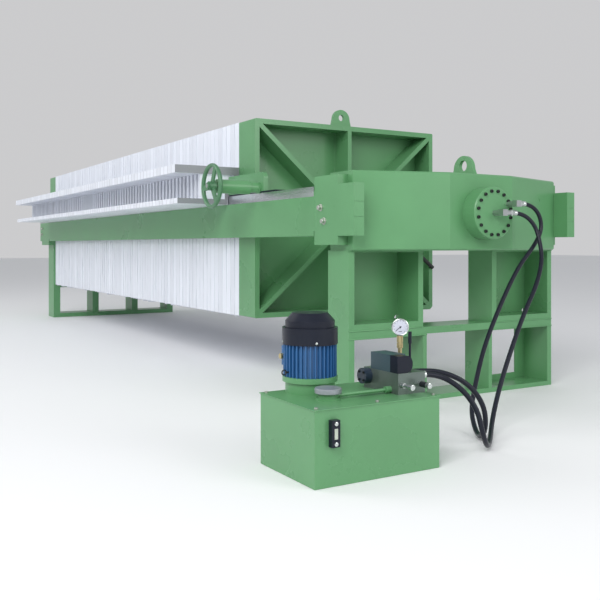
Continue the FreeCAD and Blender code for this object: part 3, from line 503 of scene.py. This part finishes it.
def hose(name, route, node):
    """A round tube on one smooth curve through the route's control points."""
    curve = bpy.data.curves.new(name, "CURVE")
    curve.dimensions = "3D"
    curve.bevel_depth = hose_diameter / 2
    curve.bevel_resolution = 5
    curve.use_fill_caps = True
    curve.resolution_u = 12
    spline = curve.splines.new("NURBS")
    spline.points.add(len(route) - 1)
    spline.points.foreach_set("co", np.hstack([np.array(route), np.ones((len(route), 1))]).ravel())
    spline.order_u = 3
    spline.use_endpoint_u = True
    curve.materials.append(hose_cover)
    piece = bpy.data.objects.new(name, curve)
    scene.collection.objects.link(piece)
    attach(piece, "frame")
    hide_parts(node)


hose("upper_hose", upper_route, "hose_upper")
hose("centre_hose", centre_route, "hose_centre")

# ---------------------------------------------------------------- valve block
# A sawn and ground steel block, dark with oil; a green tint, a painted reflection of the lid,
# is mixed into its colour. Four socket screws hold the dark relief valve on its left side.
# The block's darkness is the oil; its green tint is a painted reflection of the green lid.
dress(finish("oiled_block_painted_reflection", (0.16, 0.20, 0.18), 0.36, metallic=0.55, clouds=0.18, cloud_size=14.0),
      "manifold")
dress(finish("breather_cap", (0.36, 0.38, 0.42), 0.40, metallic=0.5, clouds=0.15, cloud_size=18.0),
      "filler_cap")
dress(finish("dark_valve", (0.02, 0.035, 0.06), 0.36, clouds=0.2, cloud_size=20.0), "relief_valve")
plug_low, plug_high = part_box("relief_valve")
plug_centre = (plug_low + plug_high) / 2
plug_circle = 0.026
plug_profile = [(0.0055, 0), (0.0055, 0.006), (0.003, 0.006), (0.0028, 0.003)]
plug_screws = []
for angle in np.linspace(0, 2 * math.pi, 4, endpoint=False) + math.pi / 4:
    place = (plug_low.x, plug_centre.y + plug_circle * math.cos(angle),
             plug_centre.z + plug_circle * math.sin(angle))
    plug_screws.append(turned(place, (-1, 0, 0), plug_profile, columns=12))
skin("relief_valve_screws", plug_screws, screw_steel, "frame")

# ---------------------------------------------------------------- adjusting valves
# Bright turned steel caps close two screw-in cartridges; the right one has a black sleeve
# behind its cap.
adjuster_low, adjuster_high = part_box("adjusting_valves")
adjuster_z = (adjuster_low.z + adjuster_high.z) / 2
adjuster_radius = (adjuster_high.z - adjuster_low.z) / 2
cap_steel = finish("bright_caps", (0.62, 0.66, 0.64), 0.28, metallic=0.9, clouds=0.1,
                   cloud_size=40.0)
cap_profile = [(adjuster_radius * 0.98, 0), (adjuster_radius * 0.98, 0.001),
               (adjuster_radius * 0.80, 0.0025), (adjuster_radius * 0.45, 0.0025),
               (adjuster_radius * 0.40, 0.001)]
caps = []
for x in (adjuster_low.x + adjuster_radius, adjuster_high.x - adjuster_radius):
    caps.append(turned((x, adjuster_low.y, adjuster_z), (0, -1, 0), cap_profile, columns=32))
skin("adjusting_valve_caps", caps, cap_steel, "frame")
sleeve_black = finish("black_sleeve", (0.014, 0.016, 0.022), 0.34, clouds=0.15, cloud_size=30.0)
sleeve_from_back = 0.020
sleeve_profile = [(adjuster_radius * 0.99, 0), (adjuster_radius * 1.02, 0.001),
                  (adjuster_radius * 1.02, 0.040), (adjuster_radius * 0.99, 0.041)]
sleeve_place = (adjuster_high.x - adjuster_radius, adjuster_high.y - sleeve_from_back, adjuster_z)
sleeve = turned(sleeve_place, (0, -1, 0), sleeve_profile, columns=32)
skin("adjusting_valve_sleeve", [sleeve], sleeve_black, "frame")

# ---------------------------------------------------------------- pressure gauge face
# A rolled steel bezel over a pale enamelled dial with printed ticks and one printed bar,
# and a black needle on a small hub.
gauge_centre = np.array([-1.264, -1.117, 0.613])
gauge_turn = math.radians(30.7)
gauge_out = np.array([-math.sin(gauge_turn), -math.cos(gauge_turn), 0.0])
gauge_right = np.array([math.cos(gauge_turn), -math.sin(gauge_turn), 0.0])
case_half_depth = 0.015
gauge_front = gauge_centre + gauge_out * case_half_depth
bezel_profile = [(0.001, -0.001), (0.0405, -0.001), (0.0405, 0.003), (0.038, 0.0045),
                 (0.0355, 0.0035), (0.0350, 0.0008), (0.001, 0.0008)]
bezel = turned(gauge_front, gauge_out, bezel_profile, columns=48)
skin("gauge_bezel", [bezel], cap_steel, "frame")
dial_enamel = finish("dial_enamel", (0.62, 0.64, 0.74), 0.35, clouds=0.05, cloud_size=60.0)
dial = turned(gauge_front, gauge_out, [(0.0349, 0.0006), (0.0349, 0.0014)], columns=48)
skin("gauge_dial", [dial], dial_enamel, "frame")


def strip(start, end, half_width, low, high):
    """A flat bar on the dial from start to end, each given as right and up from its centre."""
    start, end = np.array(start), np.array(end)
    along = (end - start) / np.linalg.norm(end - start)
    side = np.array([-along[1], along[0]]) * half_width
    corners = np.array([start + side, start - side, end - side, end + side])
    flat = corners[:, :1] * gauge_right + corners[:, 1:] * np.array([0, 0, 1.0]) + gauge_front
    return np.stack([flat + gauge_out * low, flat + gauge_out * high])


tick_inner, tick_outer, tick_half = 0.0270, 0.0325, 0.0007
print_low, print_high = 0.0013, 0.0017
bar_left, bar_right, bar_half = (-0.008, -0.021), (0.008, -0.021), 0.0012
needle_way, needle_tail, needle_tip, needle_half = np.array([-0.77, -0.64]), -0.007, 0.027, 0.0012
needle_low, needle_high = 0.0022, 0.0030
hub_profile = [(0.0040, 0.0013), (0.0040, 0.0036), (0.0025, 0.0040)]
printed = []
for angle in np.radians(np.linspace(-45, 225, 11)):
    way = np.array([math.cos(angle), math.sin(angle)])
    printed.append(strip(way * tick_inner, way * tick_outer, tick_half, print_low, print_high))
printed.append(strip(bar_left, bar_right, bar_half, print_low, print_high))
printed.append(strip(needle_way * needle_tail, needle_way * needle_tip, needle_half,
                     needle_low, needle_high))
printed.append(turned(gauge_front, gauge_out, hub_profile, columns=20))
skin("gauge_marks", printed, sleeve_black, "frame", smooth=False)

# ---------------------------------------------------------------- motor details
# Four bright screws hold the steel cowl on the motor; a black lifting eye with a short
# stem is screwed into the housing's left side, low down.
motor_low, motor_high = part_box("motor_body")
motor_centre = (motor_low + motor_high) / 2
cowl_low, cowl_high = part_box("motor_cowl")
screw_reach = (cowl_high.x - cowl_low.x) / 2 * 0.995
screw_height = cowl_low.z + 0.012
cowl_profile = [(0.0055, 0), (0.0055, 0.002), (0.003, 0.0035)]
cowl_screws = []
for angle in np.radians((252, 342, 72, 162)):
    way = (math.cos(angle), math.sin(angle), 0)
    place = (motor_centre.x + way[0] * screw_reach, motor_centre.y + way[1] * screw_reach,
             screw_height)
    cowl_screws.append(turned(place, way, cowl_profile, columns=16))
skin("cowl_screws", cowl_screws, cap_steel, "frame")
eye_z = motor_low.z + 0.022
eye_x = motor_low.x - 0.014
eye_radius, eye_bar, eye_gap = 0.011, 0.003, 0.04
eye_stem = turned((motor_low.x + 0.012, motor_centre.y, eye_z), (-1, 0, 0),
                  [(0.005, 0), (0.005, 0.018), (0.004, 0.020)], columns=14)
turn_round = np.linspace(eye_gap, 2 * math.pi - eye_gap, 30)[:, None]
turn_section = np.linspace(0, 2 * math.pi, 10, endpoint=False)[None, :]
eye_reach = eye_radius + eye_bar * np.cos(turn_section)
eye_ring = np.stack([eye_x + eye_reach * np.cos(turn_round),
                     motor_centre.y + eye_bar * np.sin(turn_section) + 0 * turn_round,
                     eye_z + eye_reach * np.sin(turn_round)], axis=-1)
skin("motor_lifting_eye", [eye_stem, eye_ring], screw_steel, "frame")

# ---------------------------------------------------------------- level gauge window
# A sight glass in front of the black body, held to the tank between two bright hollow
# screws through which the oil reaches it.
level_low, level_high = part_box("level_gauge")
level_x = (level_low.x + level_high.x) / 2
hollow_screw_inset, window_inset = 0.014, 0.034
hollow_screw_profile = [(0.009, 0), (0.009, 0.003), (0.006, 0.005)]
level_screws = []
for z in (level_low.z + hollow_screw_inset, level_high.z - hollow_screw_inset):
    level_screws.append(turned((level_x, level_low.y, z), (0, -1, 0), hollow_screw_profile,
                               columns=20))
skin("level_gauge_screws", level_screws, cap_steel, "frame")
window_half, window_front, window_back = 0.008, -0.0015, 0.001
window_x = level_x + window_half * np.array([-1, 1, 1, -1])
window_y = level_low.y + np.array([window_front, window_front, window_back, window_back])
window = np.stack([np.stack([window_x, window_y, np.full(4, z)], axis=1)
                   for z in (level_low.z + window_inset, level_high.z - window_inset)])
sight_glass = finish("sight_glass", (0.45, 0.50, 0.42), 0.15, clouds=0.3, cloud_size=30.0)
skin("level_gauge_window", [window], sight_glass, "frame", smooth=False)

# ---------------------------------------------------------------- lid bolts
# Small plated hexagon bolts hold the lid to the tank's flange, three along its front and
# three along its back.
lid_low, lid_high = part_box("tank_lid")
lid_inset = 0.025
lid_bolt_profile = [(0.009, 0), (0.009, 0.005), (0.007, 0.007)]
lid_bolts = []
for x in (lid_low.x + lid_inset, (lid_low.x + lid_high.x) / 2, lid_high.x - lid_inset):
    for y in (lid_low.y + lid_inset, lid_high.y - lid_inset):
        lid_bolts.append(turned((x, y, lid_high.z), (0, 0, 1), lid_bolt_profile, columns=6))
skin("tank_lid_bolts", lid_bolts, bolt_steel, "frame", smooth=False)

# ---------------------------------------------------------------- hose fittings
# A bright hexagon nut screws each hose end to its fitting, and a steel sleeve is crimped on
# the hose behind it. All four ends lie along X, with the hose on their right.
crimp_profile = [(0.0140, 0.0), (0.0165, 0.001), (0.0165, 0.012), (0.0155, 0.014),
                 (0.0165, 0.016), (0.0165, 0.036), (0.0140, 0.038)]
union_profile = [(0.0200, 0.0), (0.0215, 0.002), (0.0215, 0.012), (0.0200, 0.014)]
fittings = []
for end in (upper_route[0], centre_route[0], upper_route[-1], centre_route[-1]):
    fittings.append(turned(end, (1, 0, 0), crimp_profile, columns=28))
    fittings.append(turned(end, (-1, 0, 0), union_profile, columns=6))
skin("hose_fittings", fittings, cap_steel, "frame")
